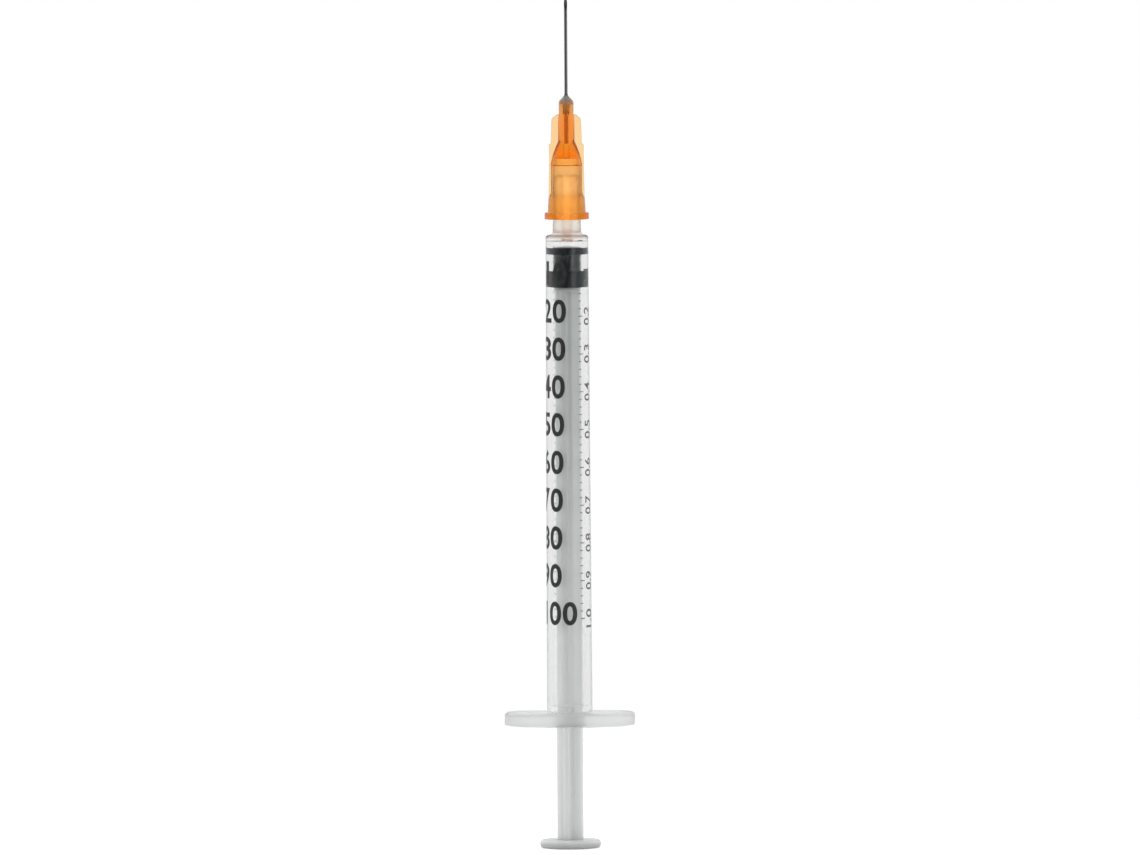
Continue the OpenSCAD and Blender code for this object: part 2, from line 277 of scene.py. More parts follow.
flowGroup = makeFlowGroup()
scratchGroup = makeScratchGroup()
heightGroup = makeMaskGroup("heightMask", (0, 0, 1))
reachGroup = makeMaskGroup("reachMask", (1, 1, 0))
print("Shared effects made")


# Finishes

def newMaterial(name, **plain):
    # A material with one shader. plain holds the values that are the same all over
    material = bpy.data.materials.new(name)
    material.use_nodes = True
    shader = material.node_tree.nodes["Principled BSDF"]
    for label, value in plain.items():
        shader.inputs[label].default_value = value
    return material, material.node_tree, shader


def placeGroup(tree, group, **values):
    # Puts a shared effect in a material with values of its own
    node = tree.nodes.new("ShaderNodeGroup")
    node.node_tree = group
    for label, value in values.items():
        node.inputs[label].default_value = value
    return node.outputs[0]


def blendColours(tree, mask, first, second):
    # Each of the two is a colour or the output of another node
    mix = tree.nodes.new("ShaderNodeMix")  # its colours are inputs 6 and 7 and output 2
    mix.data_type = "RGBA"
    tree.links.new(mask, mix.inputs["Factor"])
    for socket, colour in ((mix.inputs[6], first), (mix.inputs[7], second)):
        feed(tree, socket, (*colour, 1) if isinstance(colour, tuple) else colour)
    return mix.outputs[2]


def blendValues(tree, mask, first, second):
    # All three are outputs of other nodes
    mix = tree.nodes.new("ShaderNodeMix")
    tree.links.new(mask, mix.inputs[0])
    tree.links.new(first, mix.inputs[2])
    tree.links.new(second, mix.inputs[3])
    return mix.outputs[0]


def addSurface(tree, shader, tint, roughness, height, depth):
    # Links what changes over the surface. Where height is 1, the surface stands out by depth in metres
    bump = tree.nodes.new("ShaderNodeBump")
    bump.inputs["Strength"].default_value = 1
    bump.inputs["Distance"].default_value = depth
    tree.links.new(height, bump.inputs["Height"])
    for output, label in ((tint, "Base Color"), (roughness, "Roughness"), (bump.outputs["Normal"], "Normal")):
        tree.links.new(output, shader.inputs[label])


def addAbsorption(tree, colour, density):
    # What a clear plastic takes out of the light, by the thickness in metres that the light crosses
    volume = tree.nodes.new("ShaderNodeVolumeAbsorption")
    volume.inputs["Color"].default_value = (*colour, 1)
    volume.inputs["Density"].default_value = density
    tree.links.new(volume.outputs[0], tree.nodes["Material Output"].inputs["Volume"])


# Plunger rod

rod = {
    "diskD": 9.5, "diskH": 1.2, "edgeR": 0.4, "span": 4.1, "ribT": 1.0, "rootR": 0.3, "tipR": 0.15,
    "turn": -18, "collarD": 4.1, "collarH": 0.6, "collarGap": 0.03, "neckD": 1.7, "buttonD": 2.6,
    "buttonH": 1.5, "roundR": 0.08, "rootSteps": 5, "tipSteps": 3, "diskSteps": 128, "collarSteps": 96,
    "footTone": 0.4, "diskTone": 1.15, "outerTone": 19.5, "innerTone": 24, "stopperShadeTone": 88,
    "darkTint": (0.66, 0.675, 0.67), "paleTint": (0.72, 0.735, 0.73), "paintedInsideLightTint": (0.80, 0.815, 0.81),
    "paintedStopperShadeTint": (0.61, 0.625, 0.62), "footTint": (0.56, 0.57, 0.57),
}
rod["buttonTop"] = nodeHeight("plunger_rod", 1)
rod["buttonZ"] = rod["buttonTop"] - rod["buttonH"]
rod["collarTop"] = nodeHeight("stopper", 0) - rod["collarGap"]


def makeFrostedPlastic():
    # Translucent and frosted. The heights at which its colour changes are the Tone values
    material, tree, shader = newMaterial("frostedRod", **{
        "IOR": 1.49, "Subsurface Weight": 1, "Subsurface Radius": (0.003, 0.003, 0.003),
        "Subsurface Scale": 1.0})
    flow = placeGroup(tree, flowGroup, Scale=350, Stretch=0.12)
    tint = blendColours(tree, flow, rod["darkTint"], rod["paleTint"])
    # Painted light: the rod is lighter inside the barrel, where the tube takes light from it
    inside = placeGroup(tree, heightGroup, From=rod["outerTone"], To=rod["innerTone"])
    tint = blendColours(tree, inside, tint, rod["paintedInsideLightTint"])
    # Painted shade: darker up towards the stopper, which shades it
    high = placeGroup(tree, heightGroup, From=rod["innerTone"], To=rod["stopperShadeTone"])
    tint = blendColours(tree, high, tint, rod["paintedStopperShadeTint"])
    # Painted shade: darkest at the disk's edge, which faces the floor
    disk = placeGroup(tree, heightGroup, From=rod["footTone"], To=rod["diskTone"])
    tint = blendColours(tree, disk, rod["footTint"], tint)
    grain = placeGroup(tree, flowGroup, Scale=9000, Stretch=1, Low=0.34, High=0.52)
    addSurface(tree, shader, tint, grain, grain, depth=0.00002)
    return material


def makeRod():
    # The disk, the cross-shaped rod and the collar with the button, as one moulding
    half, rib, edge = rod["span"] / 2, rod["ribT"] / 2, rod["edgeR"]
    rim = rod["diskD"] / 2 - edge
    disk = spinProfile(
        [(0, 0), (rim * 0.5, 0)]
        + arcPoints(rim, edge, edge, -90, 0)
        + arcPoints(rim, rod["diskH"] - edge, edge, 0, 90)
        + [(rim * 0.5, rod["diskH"]), (0, rod["diskH"])], rod["diskSteps"])
    outline = []
    for quarter in range(4):
        c, s = round(math.cos(quarter * math.pi / 2)), round(math.sin(quarter * math.pi / 2))
        for x, y in ((half, -rib), (half, rib), (rib, rib)):
            outline.append((x * c - y * s, x * s + y * c))
    collarZ = rod["collarTop"] - rod["collarH"]
    low = rod["diskH"] / 2
    place = Matrix.Translation((0, 0, low)) @ Matrix.Rotation(math.radians(rod["turn"]), 4, "Z")
    cross = extrudeOutline(outline, collarZ + rod["collarH"] / 2 - low, place)
    upright = [e for e in cross.edges if abs(e.verts[0].co.z - e.verts[1].co.z) > rod["diskH"]]
    reach = [max(Vector(v.co[:2]).length for v in e.verts) for e in upright]
    tips = [e for e, r in zip(upright, reach) if r > half]
    roots = [e for e, r in zip(upright, reach) if r < half]
    bevelEdges(cross, tips, rod["tipR"], rod["tipSteps"])
    roots = [e for e in roots if e.is_valid]
    bevelEdges(cross, roots, rod["rootR"], rod["rootSteps"])
    soft, buttonZ, buttonTop = rod["roundR"], rod["buttonZ"], rod["buttonTop"]
    collarR, neckR, buttonR = rod["collarD"] / 2, rod["neckD"] / 2, rod["buttonD"] / 2
    collar = spinProfile(
        [(0, collarZ)]
        + arcPoints(collarR - soft, collarZ + soft, soft, -90, 0)
        + arcPoints(collarR - soft, rod["collarTop"] - soft, soft, 0, 90)
        + [(neckR, rod["collarTop"]), (neckR, buttonZ)]
        + arcPoints(buttonR - soft, buttonZ + soft, soft, -90, 0)
        + [(buttonR, buttonZ + rod["buttonH"] / 3), (neckR, buttonTop), (0, buttonTop)], rod["collarSteps"])
    finishPiece("rodMoulding", uniteShells([disk, cross, collar]), makeFrostedPlastic(), "rod",
                ["plunger_rod"])


makeRod()


# Stopper

stopper = {
    "z": nodeHeight("stopper", 0), "top": nodeHeight("stopper", 1), "noseH": 0.15, "frontRib": 1.15,
    "rearRib": 2.65, "ribR": 2.334, "waistD": 4.3, "edgeR": 0.12, "socketGap": 0.03, "steps": 128,
    "darkTint": (0.004, 0.013, 0.015), "paleTint": (0.011, 0.022, 0.025),
}


def makeRubber():
    # Black rubber with a blue-green cast and a film of oil
    material, tree, shader = newMaterial("stopperRubber", **{
        "IOR": 1.5, "Coat Weight": 0.25, "Coat Roughness": 0.12})
    flow = placeGroup(tree, flowGroup, Scale=1200, Stretch=1)
    tint = blendColours(tree, flow, stopper["darkTint"], stopper["paleTint"])
    grain = placeGroup(tree, flowGroup, Scale=6000, Stretch=1, Low=0.28, High=0.48)
    addSurface(tree, shader, tint, grain, grain, depth=0.00001)
    return material


def makeStopper():
    # Two ribs, which fill the bore, a waist between them, and the socket for the rod's button
    low, top, soft, gap = stopper["z"], stopper["top"], stopper["edgeR"], stopper["socketGap"]
    ribR, waistR = stopper["ribR"], stopper["waistD"] / 2
    rearTop, frontLow = low + stopper["rearRib"], top - stopper["noseH"] - stopper["frontRib"]
    neckR, buttonR = rod["neckD"] / 2 + gap, rod["buttonD"] / 2 + gap
    buttonLow, buttonTop = rod["buttonZ"] - gap, rod["buttonTop"] + gap
    bm = spinProfile(
        [(0, buttonTop), (neckR, buttonTop), (buttonR, buttonLow + rod["buttonH"] / 3 + 2 * gap),
         (buttonR, buttonLow), (neckR, buttonLow), (neckR, low + soft)]
        + arcPoints(neckR + soft, low + soft, soft, 180, 270, 3)
        + arcPoints(ribR - soft, low + soft, soft, -90, 0)
        + arcPoints(ribR - soft, rearTop - soft, soft, 0, 70)
        + [(waistR, rearTop + soft), (waistR, frontLow - soft)]
        + arcPoints(ribR - soft, frontLow + soft, soft, -70, 0)
        + arcPoints(ribR - soft, top - stopper["noseH"] - soft, soft, 0, 90)
        + [(ribR * 0.5, top - stopper["noseH"] / 2), (0, top)], stopper["steps"])
    finishPiece("stopperRubber", bm, makeRubber(), "stopper", ["stopper"], sharpAngle=50)


makeStopper()


# Barrel

barrel = {
    "flangeZ": nodeHeight("barrel", 0), "flangeH": 2.05, "flangeL": 20.3, "flangeW": 10, "crown": 0.25,
    "cornerR": 4.2, "topR": 0.5, "lowR": 0.3, "filletR": 0.25, "rootD": 7.08, "topD": 6.65, "shoulderR": 0.45,
    "endWall": 0.75, "boreD": 4.64, "noseH": 0.15, "mouthBevel": 0.35, "ridgeUp": 2.6, "ridgeW": 0.6,
    "ridgeH": 0.1, "tipTop": nodeHeight("barrel", 1), "tipL": 9.25, "tipD": 3.9, "taper": 0.06,
    "tipFilletR": 0.6, "nozzleD": 1.3, "tipBevel": 0.15, "runIn": 0.2, "steps": 160, "topSteps": 6,
    "lowSteps": 4, "sideSteps": 24, "roughTop": 20.8, "smoothFoot": 21.6, "glowFoot": 94.8, "glowTop": 95.6,
    "tipGlowFoot": 96.2, "tipGlowTop": 97, "darkTint": (0.97, 0.98, 0.975), "paleTint": (0.99, 0.995, 0.99),
    "paintedHubLightTint": (0.98, 0.83, 0.74), "paintedTipLightTint": (1.0, 0.95, 0.87), "takenTint": (0, 0.06, 0.03),
    "takenShare": 15,
}
barrel["shoulderZ"] = barrel["tipTop"] - barrel["tipL"]
barrel["boreEnd"] = barrel["shoulderZ"] - barrel["endWall"]


def makeClearPlastic():
    # Clear polypropylene with a slight haze, which greys where the light has more of it to cross
    material, tree, shader = newMaterial("clearBarrel", **{"IOR": 1.49, "Transmission Weight": 1})
    flow = placeGroup(tree, flowGroup, Scale=900, Stretch=0.15)
    tint = blendColours(tree, flow, barrel["darkTint"], barrel["paleTint"])
    # Painted light: the hub's orange light, painted into the shoulder's colour, and less into the tip's
    shoulder = placeGroup(tree, heightGroup, From=barrel["glowFoot"], To=barrel["glowTop"])
    tip = placeGroup(tree, heightGroup, From=barrel["tipGlowFoot"], To=barrel["tipGlowTop"])
    tint = blendColours(tree, shoulder, tint, barrel["paintedHubLightTint"])
    tint = blendColours(tree, tip, tint, barrel["paintedTipLightTint"])
    # The flange and the shoulder are moulded rough, the tube smooth
    haze = placeGroup(tree, flowGroup, Scale=2500, Stretch=0.4, Low=0.12, High=0.2)
    rough = placeGroup(tree, flowGroup, Scale=2500, Stretch=1, Low=0.40, High=0.52)
    above = placeGroup(tree, heightGroup, From=barrel["roughTop"], To=barrel["smoothFoot"])
    roughness = blendValues(tree, shoulder, blendValues(tree, above, rough, haze), rough)
    scratches = placeGroup(tree, scratchGroup, Scale=1500, Amount=0.5)
    addSurface(tree, shader, tint, roughness, scratches, depth=0.000004)
    addAbsorption(tree, barrel["takenTint"], barrel["takenShare"])
    return material


def tubeRadius(z):
    # Outer radius of the barrel's tube at a height
    low = barrel["flangeZ"] + barrel["flangeH"] + barrel["filletR"]
    high = barrel["shoulderZ"] - barrel["shoulderR"]
    return (barrel["rootD"] + (barrel["topD"] - barrel["rootD"]) * (z - low) / (high - low)) / 2


def tipRadius(z):
    # Radius of the luer tip's taper at a height
    return (barrel["tipD"] + (barrel["tipTop"] - z) * barrel["taper"]) / 2


def plateReach(spot, inset):
    # The point of the flange's outline, drawn in by inset, on the ray from the axis through a spot
    halfL, halfW = barrel["flangeL"] / 2 - inset, barrel["flangeW"] / 2 - inset
    corner = barrel["cornerR"] - inset
    ray = Vector((abs(spot.x), abs(spot.y))).normalized()
    if ray.y * halfL <= ray.x * (halfW - corner):
        reach = halfL / ray.x
    elif ray.x * halfW <= ray.y * (halfL - corner):
        reach = halfW / ray.y
    else:
        centre = Vector((halfL - corner, halfW - corner))
        along = ray.dot(centre)
        reach = along + math.sqrt(along * along - centre.length_squared + corner * corner)
    return Vector((math.copysign(ray.x * reach, spot.x), math.copysign(ray.y * reach, spot.y)))


def crownHeight(x):
    # Height of the flange's crowned underside
    return barrel["flangeZ"] + barrel["crown"] * (x / (barrel["flangeL"] / 2)) ** 2


def plateRing(inset, z):
    # Ring of the flange's edge, drawn in by inset at a height
    def place(spot):
        out = plateReach(spot, inset)
        return Vector((out.x, out.y, max(z, crownHeight(out.x))))
    return place


def underRing(share):
    # Ring of the underside, a share of the way from the edge to the bore's mouth
    mouth = barrel["boreD"] / 2 + barrel["mouthBevel"]

    def place(spot):
        out = plateReach(spot, barrel["lowR"])
        out = out.lerp(out.normalized() * mouth, share)
        return Vector((out.x, out.y, crownHeight(out.x)))
    return place


def makeBarrel():
    # The tube, the tip and the bore are turned, and the flange grows out of their open borders
    b = barrel
    rootR, topR, boreR, nozzleR = b["rootD"] / 2, b["topD"] / 2, b["boreD"] / 2, b["nozzleD"] / 2
    flangeTop, shoulderZ, tipTop = b["flangeZ"] + b["flangeH"], b["shoulderZ"], b["tipTop"]
    tubeLow, tubeTop = flangeTop + b["filletR"] + b["runIn"], shoulderZ - b["shoulderR"] - b["runIn"]
    tipRootZ, tipEnd = shoulderZ + b["tipFilletR"], tipTop - b["tipBevel"]
    tipLow, boreTop = tipRootZ + b["runIn"], b["boreEnd"] - b["noseH"]
    ridgeZ, ridgeR = b["flangeZ"] + b["ridgeUp"], boreR - b["ridgeH"]
    soft = b["tipBevel"] / 2
    bm = spinProfile(
        arcPoints(rootR + b["filletR"], flangeTop + b["filletR"], b["filletR"], 270, 180)
        + linePoints((rootR, tubeLow), (topR, tubeTop), b["sideSteps"])
        + arcPoints(topR - b["shoulderR"], shoulderZ - b["shoulderR"], b["shoulderR"], 0, 90, 8)
        + arcPoints(tipRadius(tipRootZ) + b["tipFilletR"], tipRootZ, b["tipFilletR"], 270, 180, 8)
        + linePoints((tipRadius(tipLow), tipLow), (tipRadius(tipEnd), tipEnd), 6)
        + arcPoints(b["tipD"] / 2 - b["tipBevel"], tipEnd, b["tipBevel"], 0, 90, 4)
        + [(nozzleR + soft, tipTop)]
        + arcPoints(nozzleR + soft, tipTop - soft, soft, 90, 180, 3)
        + linePoints((nozzleR, tipTop - soft * 3), (nozzleR, b["boreEnd"] + soft), 8)
        + [(nozzleR + soft, b["boreEnd"])]
        + arcPoints(boreR - soft, boreTop - soft, soft, 90, 0, 3)
        + linePoints((boreR, boreTop - soft * 3), (boreR, ridgeZ + b["ridgeW"] + soft), b["sideSteps"])
        + [(ridgeR, ridgeZ + b["ridgeW"]), (ridgeR, ridgeZ + b["ridgeW"] / 2), (boreR, ridgeZ)]
        + [(boreR, b["flangeZ"] + b["mouthBevel"]), (boreR + b["mouthBevel"], b["flangeZ"])],
        b["steps"])
    mouthLoop, loop = openLoops(bm)
    for i in range(b["topSteps"] + 1):
        turn = math.pi / 2 * i / b["topSteps"]
        inset = b["topR"] * (1 - math.sin(turn))
        loop = growLoop(bm, loop, plateRing(inset, flangeTop - b["topR"] * (1 - math.cos(turn))))
    for i in range(b["lowSteps"] + 1):
        turn = math.pi / 2 * i / b["lowSteps"]
        inset = b["lowR"] * (1 - math.cos(turn))
        loop = growLoop(bm, loop, plateRing(inset, b["flangeZ"] + b["lowR"] * (1 - math.sin(turn))))
    for share in (0.25, 0.5, 0.75):
        loop = growLoop(bm, loop, underRing(share))
    bmesh.ops.bridge_loops(bm, edges=loop + mouthLoop)
    bmesh.ops.remove_doubles(bm, verts=bm.verts, dist=weldGap)
    bmesh.ops.recalc_face_normals(bm, faces=bm.faces)
    finishPiece("barrelMoulding", bm, makeClearPlastic(), "barrel", ["barrel"])


makeBarrel()


# Needle hub

hub = {
    "z": nodeHeight("needle_hub", 0), "top": nodeHeight("needle_hub", 1), "flangeD": 6.9, "flangeH": 1.0,
    "skirtRootD": 5.92, "skirtTopD": 5.7, "skirtH": 1.9, "flareH": 1.4, "bodyD": 4.9, "roomD": 3.1,
    "roomH": 1.05, "bellH": 3.75, "bellFullness": 1.5, "coreD": 2.58, "coreL": 5.95, "coreTopD": 2.3,
    "coreNeckH": 1.4, "luerGap": 0.02, "finT": 0.7, "finFoot": 5.76, "finLow": 5.38, "finTop": 4.86,
    "finDraft": 0.15, "finDown": 1.75, "finSlopeW": 0.85, "finSlopeH": 0.75, "finStepDown": 0.45,
    "finFootIn": 0.3, "finWallIn": 0.25, "finBevel": 0.12, "finSteps": 2, "throatD": 0.8, "throatL": 3.2,
    "holeD": 0.52, "wellD": 1.5, "wellL": 2.2, "edgeR": 0.1, "steps": 144, "waveSteps": 16,
    "deepDown": 0.6, "neckDown": 1.9, "neckBlend": 0.3, "skinFrom": 0.8, "skinGap": 0.03, "skinBlend": 0.1,
    "darkTint": (1.0, 0.82, 0.66), "paleTint": (1.0, 0.86, 0.72), "coreTint": (0.93, 0.62, 0.60),
    "neckTint": (0.86, 0.66, 0.60), "shineTint": (0.5, 0.3, 0.15), "takenTint": (1.0, 0.70, 0.05),
    "takenShare": 1100,
}
hub["bellTop"] = hub["top"] - hub["coreL"]
hub["socketTop"] = hub["bellTop"] - hub["bellH"]
hub["mouthR"] = tipRadius(hub["z"]) + hub["luerGap"]


def makeOrangePlastic():
    # Clear orange: the colour comes from what the thickness takes out of the light
    material, tree, shader = newMaterial("orangeHub", **{
        "IOR": 1.49, "Transmission Weight": 1, "Specular Tint": (*hub["shineTint"], 1)})
    flow = placeGroup(tree, flowGroup, Scale=1100, Stretch=0.35)
    tint = blendColours(tree, flow, hub["darkTint"], hub["paleTint"])
    # The core's outside is a deeper orange than the thin fins beside it
    coreR, inner, blend = hub["coreD"] / 2, hub["skinFrom"], hub["skinBlend"]
    high = placeGroup(tree, heightGroup, From=hub["bellTop"] - hub["deepDown"], To=hub["bellTop"])
    skin = placeGroup(tree, reachGroup, From=inner, To=inner + blend)
    fins = placeGroup(tree, reachGroup, From=coreR + hub["skinGap"], To=coreR + blend)
    deep = blendColours(tree, fins, hub["coreTint"], tint)
    tint = blendColours(tree, high, tint, blendColours(tree, skin, tint, deep))
    # The glue dulls the neck that it fills
    neckZ = hub["top"] - hub["neckDown"]
    neck = placeGroup(tree, heightGroup, From=neckZ, To=neckZ + hub["neckBlend"])
    tint = blendColours(tree, neck, tint, hub["neckTint"])
    # The socket's wall is rougher than the outside
    haze = placeGroup(tree, flowGroup, Scale=2600, Stretch=0.5, Low=0.16, High=0.26)
    rough = placeGroup(tree, flowGroup, Scale=2600, Stretch=0.5, Low=0.32, High=0.42)
    outside = placeGroup(tree, reachGroup, From=hub["mouthR"] + blend / 2, To=hub["mouthR"] + blend)
    above = placeGroup(tree, heightGroup, From=hub["socketTop"], To=hub["socketTop"] + blend)
    roughness = blendValues(tree, above, blendValues(tree, outside, rough, haze), haze)
    scratches = placeGroup(tree, scratchGroup, Scale=1500, Amount=0.5)
    addSurface(tree, shader, tint, roughness, scratches, depth=0.000003)
    addAbsorption(tree, hub["takenTint"], hub["takenShare"])
    return material


def wellRadius(z):
    # Radius of the well that the glue fills, at a height
    low = hub["top"] - hub["wellL"]
    return (hub["holeD"] + (hub["wellD"] - hub["holeD"]) * (z - low) / hub["wellL"]) / 2


def hubWall():
    # The hub's outside as (r, z) points, from its flange up to its top
    h = hub
    soft, skirtZ, steps = h["edgeR"], h["z"] + h["flangeH"], h["waveSteps"]
    flangeR, skirtR, bodyR, coreR = h["flangeD"] / 2, h["skirtTopD"] / 2, h["bodyD"] / 2, h["coreD"] / 2
    neckR, flareZ, neckZ = h["coreTopD"] / 2, skirtZ + h["skirtH"], h["top"] - h["finDown"]
    flare, bell = [], []
    for i in range(steps + 1):
        share = i / steps
        wave = (1 + math.cos(math.pi * share)) / 2
        full = 1 - share ** h["bellFullness"]
        flare.append((bodyR + (skirtR - bodyR) * wave, flareZ + h["flareH"] * share))
        bell.append((coreR + (bodyR - coreR) * full, h["socketTop"] + h["bellH"] * share))
    return (arcPoints(flangeR - soft, h["z"] + soft, soft, -90, 0, 4)
            + arcPoints(flangeR - soft, skirtZ - soft, soft, 0, 90, 4)
            + arcPoints(h["skirtRootD"] / 2 + soft, skirtZ + soft, soft, 270, 180, 4)
            + flare + bell
            + [(coreR, neckZ - h["coreNeckH"]), (neckR, neckZ)]
            + arcPoints(neckR - soft, h["top"] - soft, soft, 0, 90, 4))


def hubBore():
    # The socket and the passages, from the hub's top down to its mouth
    h = hub
    soft, socketTop, roomTop = h["edgeR"], h["socketTop"], h["socketTop"] + h["roomH"]
    holeR, throatR, roomR = h["holeD"] / 2, h["throatD"] / 2, h["roomD"] / 2
    throatTop = socketTop + h["throatL"]
    deepR = tipRadius(socketTop) + h["luerGap"]
    return (linePoints((wellRadius(h["top"]), h["top"]), (holeR, h["top"] - h["wellL"]), 6)
            + [(holeR, throatTop), (throatR, throatTop)]
            + arcPoints(throatR + soft, roomTop + soft, soft, 180, 270, 4)
            + arcPoints(roomR - soft, roomTop - soft, soft, 90, 0, 4)
            + arcPoints(roomR + soft, socketTop + soft, soft, 180, 270, 4)
            + arcPoints(deepR - soft, socketTop - soft, soft, 90, 0, 4)
            + linePoints((deepR, socketTop - 3 * soft), (h["mouthR"], h["z"] + 2 * soft), 8)
            + [(h["mouthR"] + soft, h["z"])])


def finOutline():
    # One fin in the x-z plane. It ends inside the hub's wall, which it follows up to the core
    h = hub
    foot, low, top = h["finFoot"] / 2, h["finLow"] / 2, h["finTop"] / 2
    footZ, stepZ, finTop = h["z"] + h["flangeH"] / 2, h["bellTop"] - h["finStepDown"], h["top"] - h["finDown"]
    drawn, inner = top - h["finDraft"], h["coreD"] / 4
    wallR = tipRadius(h["socketTop"]) + h["finWallIn"]
    return [(tipRadius(footZ) + h["finFootIn"], footZ), (foot, footZ), (low, h["socketTop"]), (low, stepZ),
            (top, stepZ), (drawn, finTop - h["finSlopeH"]), (drawn - h["finSlopeW"], finTop), (inner, finTop),
            (inner, h["bellTop"]), (wallR, h["socketTop"])]


def makeHub():
    # The turned hub and its two fins, whose outer edges are rounded down to the flange
    shells = [spinProfile(hubWall() + hubBore(), hub["steps"], closed=True)]
    outline = finOutline()
    foot = outline[0][1] + weldGap
    upright = Matrix.Translation((0, hub["finT"] / 2, 0)) @ Matrix.Rotation(math.pi / 2, 4, "X")
    for side in (1, -1):
        fin = extrudeOutline([(x * side, z) for x, z in outline], hub["finT"], upright)
        outer = [e for e in fin.edges
                 if all(abs(v.co.x) > hub["coreD"] / 2 and v.co.z > foot for v in e.verts)]
        bevelEdges(fin, outer, hub["finBevel"], hub["finSteps"])
        shells.append(fin)
    finishPiece("hubMoulding", uniteShells(shells), makeOrangePlastic(), "needle",
                ["needle_hub"], sharpAngle=30)


makeHub()


# Cannula and glue

cannula = {
    "outerD": 0.5, "lumenD": 0.26, "low": nodeHeight("cannula", 0), "top": nodeHeight("cannula", 1),
    "bevel": 12, "sideBevel": 17, "sideTurn": 38, "steps": 48, "rings": 12, "dullDown": 1.85, "dullBlend": 1,
    "darkTint": (0.20, 0.205, 0.215), "paleTint": (0.36, 0.365, 0.375), "paintedHubReflectionTint": (0.85, 0.62, 0.42),
}
bead = {
    "low": nodeHeight("adhesive_bead", 0), "height": 1.4, "glueGap": 0.01, "lip": 0.02, "rimBlend": 0.05,
    "greyFrom": 0.1, "greyTo": 0.7, "steps": 72, "waveSteps": 14, "darkTint": (0.22, 0.215, 0.185),
    "paleTint": (0.31, 0.305, 0.265), "footTint": (0.42, 0.28, 0.18), "paintedWellLightTint": (1.0, 0.85, 0.62),
}
bead["foot"] = hub["top"] + bead["glueGap"]


def makeSteel():
    # Drawn tube: dark along its length, with fine lines. Deep in the glue it has no metal shine, and a
    # painted reflection of the hub's orange light stands in for it
    material, tree, shader = newMaterial("needleSteel")
    drawn = placeGroup(tree, flowGroup, Scale=9000, Stretch=0.01)
    bare = blendColours(tree, drawn, cannula["darkTint"], cannula["paleTint"])
    dullZ = hub["top"] - cannula["dullDown"]
    above = placeGroup(tree, heightGroup, From=dullZ, To=dullZ + cannula["dullBlend"])
    # Painted reflection: the hub's orange light on the buried steel
    tint = blendColours(tree, above, cannula["paintedHubReflectionTint"], bare)
    shine = placeGroup(tree, flowGroup, Scale=5000, Stretch=0.05, Low=0.22, High=0.4)
    addSurface(tree, shader, tint, shine, drawn, depth=0.000003)
    tree.links.new(above, shader.inputs["Metallic"])
    return material


def makeGlue():
    # Grey where it stands up as a bead, browner at the bead's foot, and painted light makes it pale where it
    # fills the well
    material, tree, shader = newMaterial("curedGlue", **{
        "IOR": 1.5, "Subsurface Weight": 1, "Subsurface Radius": (0.001, 0.001, 0.001),
        "Subsurface Scale": 1.0})
    flow = placeGroup(tree, flowGroup, Scale=1500, Stretch=1)
    grey = blendColours(tree, flow, bead["darkTint"], bead["paleTint"])
    foot, blend = bead["foot"], bead["rimBlend"]
    up = placeGroup(tree, heightGroup, From=foot + bead["greyFrom"], To=foot + bead["greyTo"])
    out = placeGroup(tree, heightGroup, From=foot - blend, To=foot + blend)
    # Painted light: the glue in the well is made pale, standing in for light reaching it through the hub
    tint = blendColours(tree, out, bead["paintedWellLightTint"], blendColours(tree, up, bead["footTint"], grey))
    grain = placeGroup(tree, flowGroup, Scale=4000, Stretch=1, Low=0.3, High=0.5)
    addSurface(tree, shader, tint, grain, flow, depth=0.00004)
    return material


def makeCannula():
    # A tube whose point is a lancet, ground in three faces
    c = cannula
    outerR, lumenR = c["outerD"] / 2, c["lumenD"] / 2
    outside = linePoints((outerR, c["low"]), (outerR, c["top"]), c["rings"])
    inside = linePoints((lumenR, c["top"]), (lumenR, c["low"]), c["rings"])
    bm = spinProfile(outside + inside, c["steps"], closed=True)
    for turn, angle in ((0, c["bevel"]), (c["sideTurn"], c["sideBevel"]), (-c["sideTurn"], c["sideBevel"])):
        spin, lean = Matrix.Rotation(math.radians(turn), 3, "Z"), math.radians(angle)
        point = spin @ Vector((0, outerR * math.cos(math.radians(turn)), c["top"]))
        cut = sliceMesh(bm, point, spin @ Vector((0, -math.cos(lean), math.sin(lean))), clear=True)
        rim = [g for g in cut if isinstance(g, bmesh.types.BMEdge)]
        bmesh.ops.triangle_fill(bm, edges=rim, use_beauty=True)
    bmesh.ops.recalc_face_normals(bm, faces=bm.faces)
    finishPiece("cannulaTube", bm, makeSteel(), "needle", ["cannula"], sharpAngle=25)


def makeBead():
    # Fills the well and stands up round the cannula as a cone, steep at its foot and at its top
    gap, foot, steps = bead["glueGap"], bead["foot"], bead["waveSteps"]
    holeR, footR = cannula["outerD"] / 2 + gap, hub["coreTopD"] / 2
    wellR, neckR = wellRadius(bead["low"]) - gap, wellRadius(foot) - gap
    points = [(holeR, bead["low"]), (wellR, bead["low"]), (neckR, foot)]
    for i in range(steps + 1):
        share = i / steps
        wave = (1 + math.cos(math.pi * share)) / 2
        reach = holeR + (footR - holeR) * wave + bead["lip"] * (1 - share)
        points.append((reach, foot + bead["height"] * share))
    bm = spinProfile(points, bead["steps"], closed=True)
    finishPiece("glueBead", bm, makeGlue(), "needle", ["adhesive_bead"], sharpAngle=50)


makeCannula()
makeBead()


# Printed scale

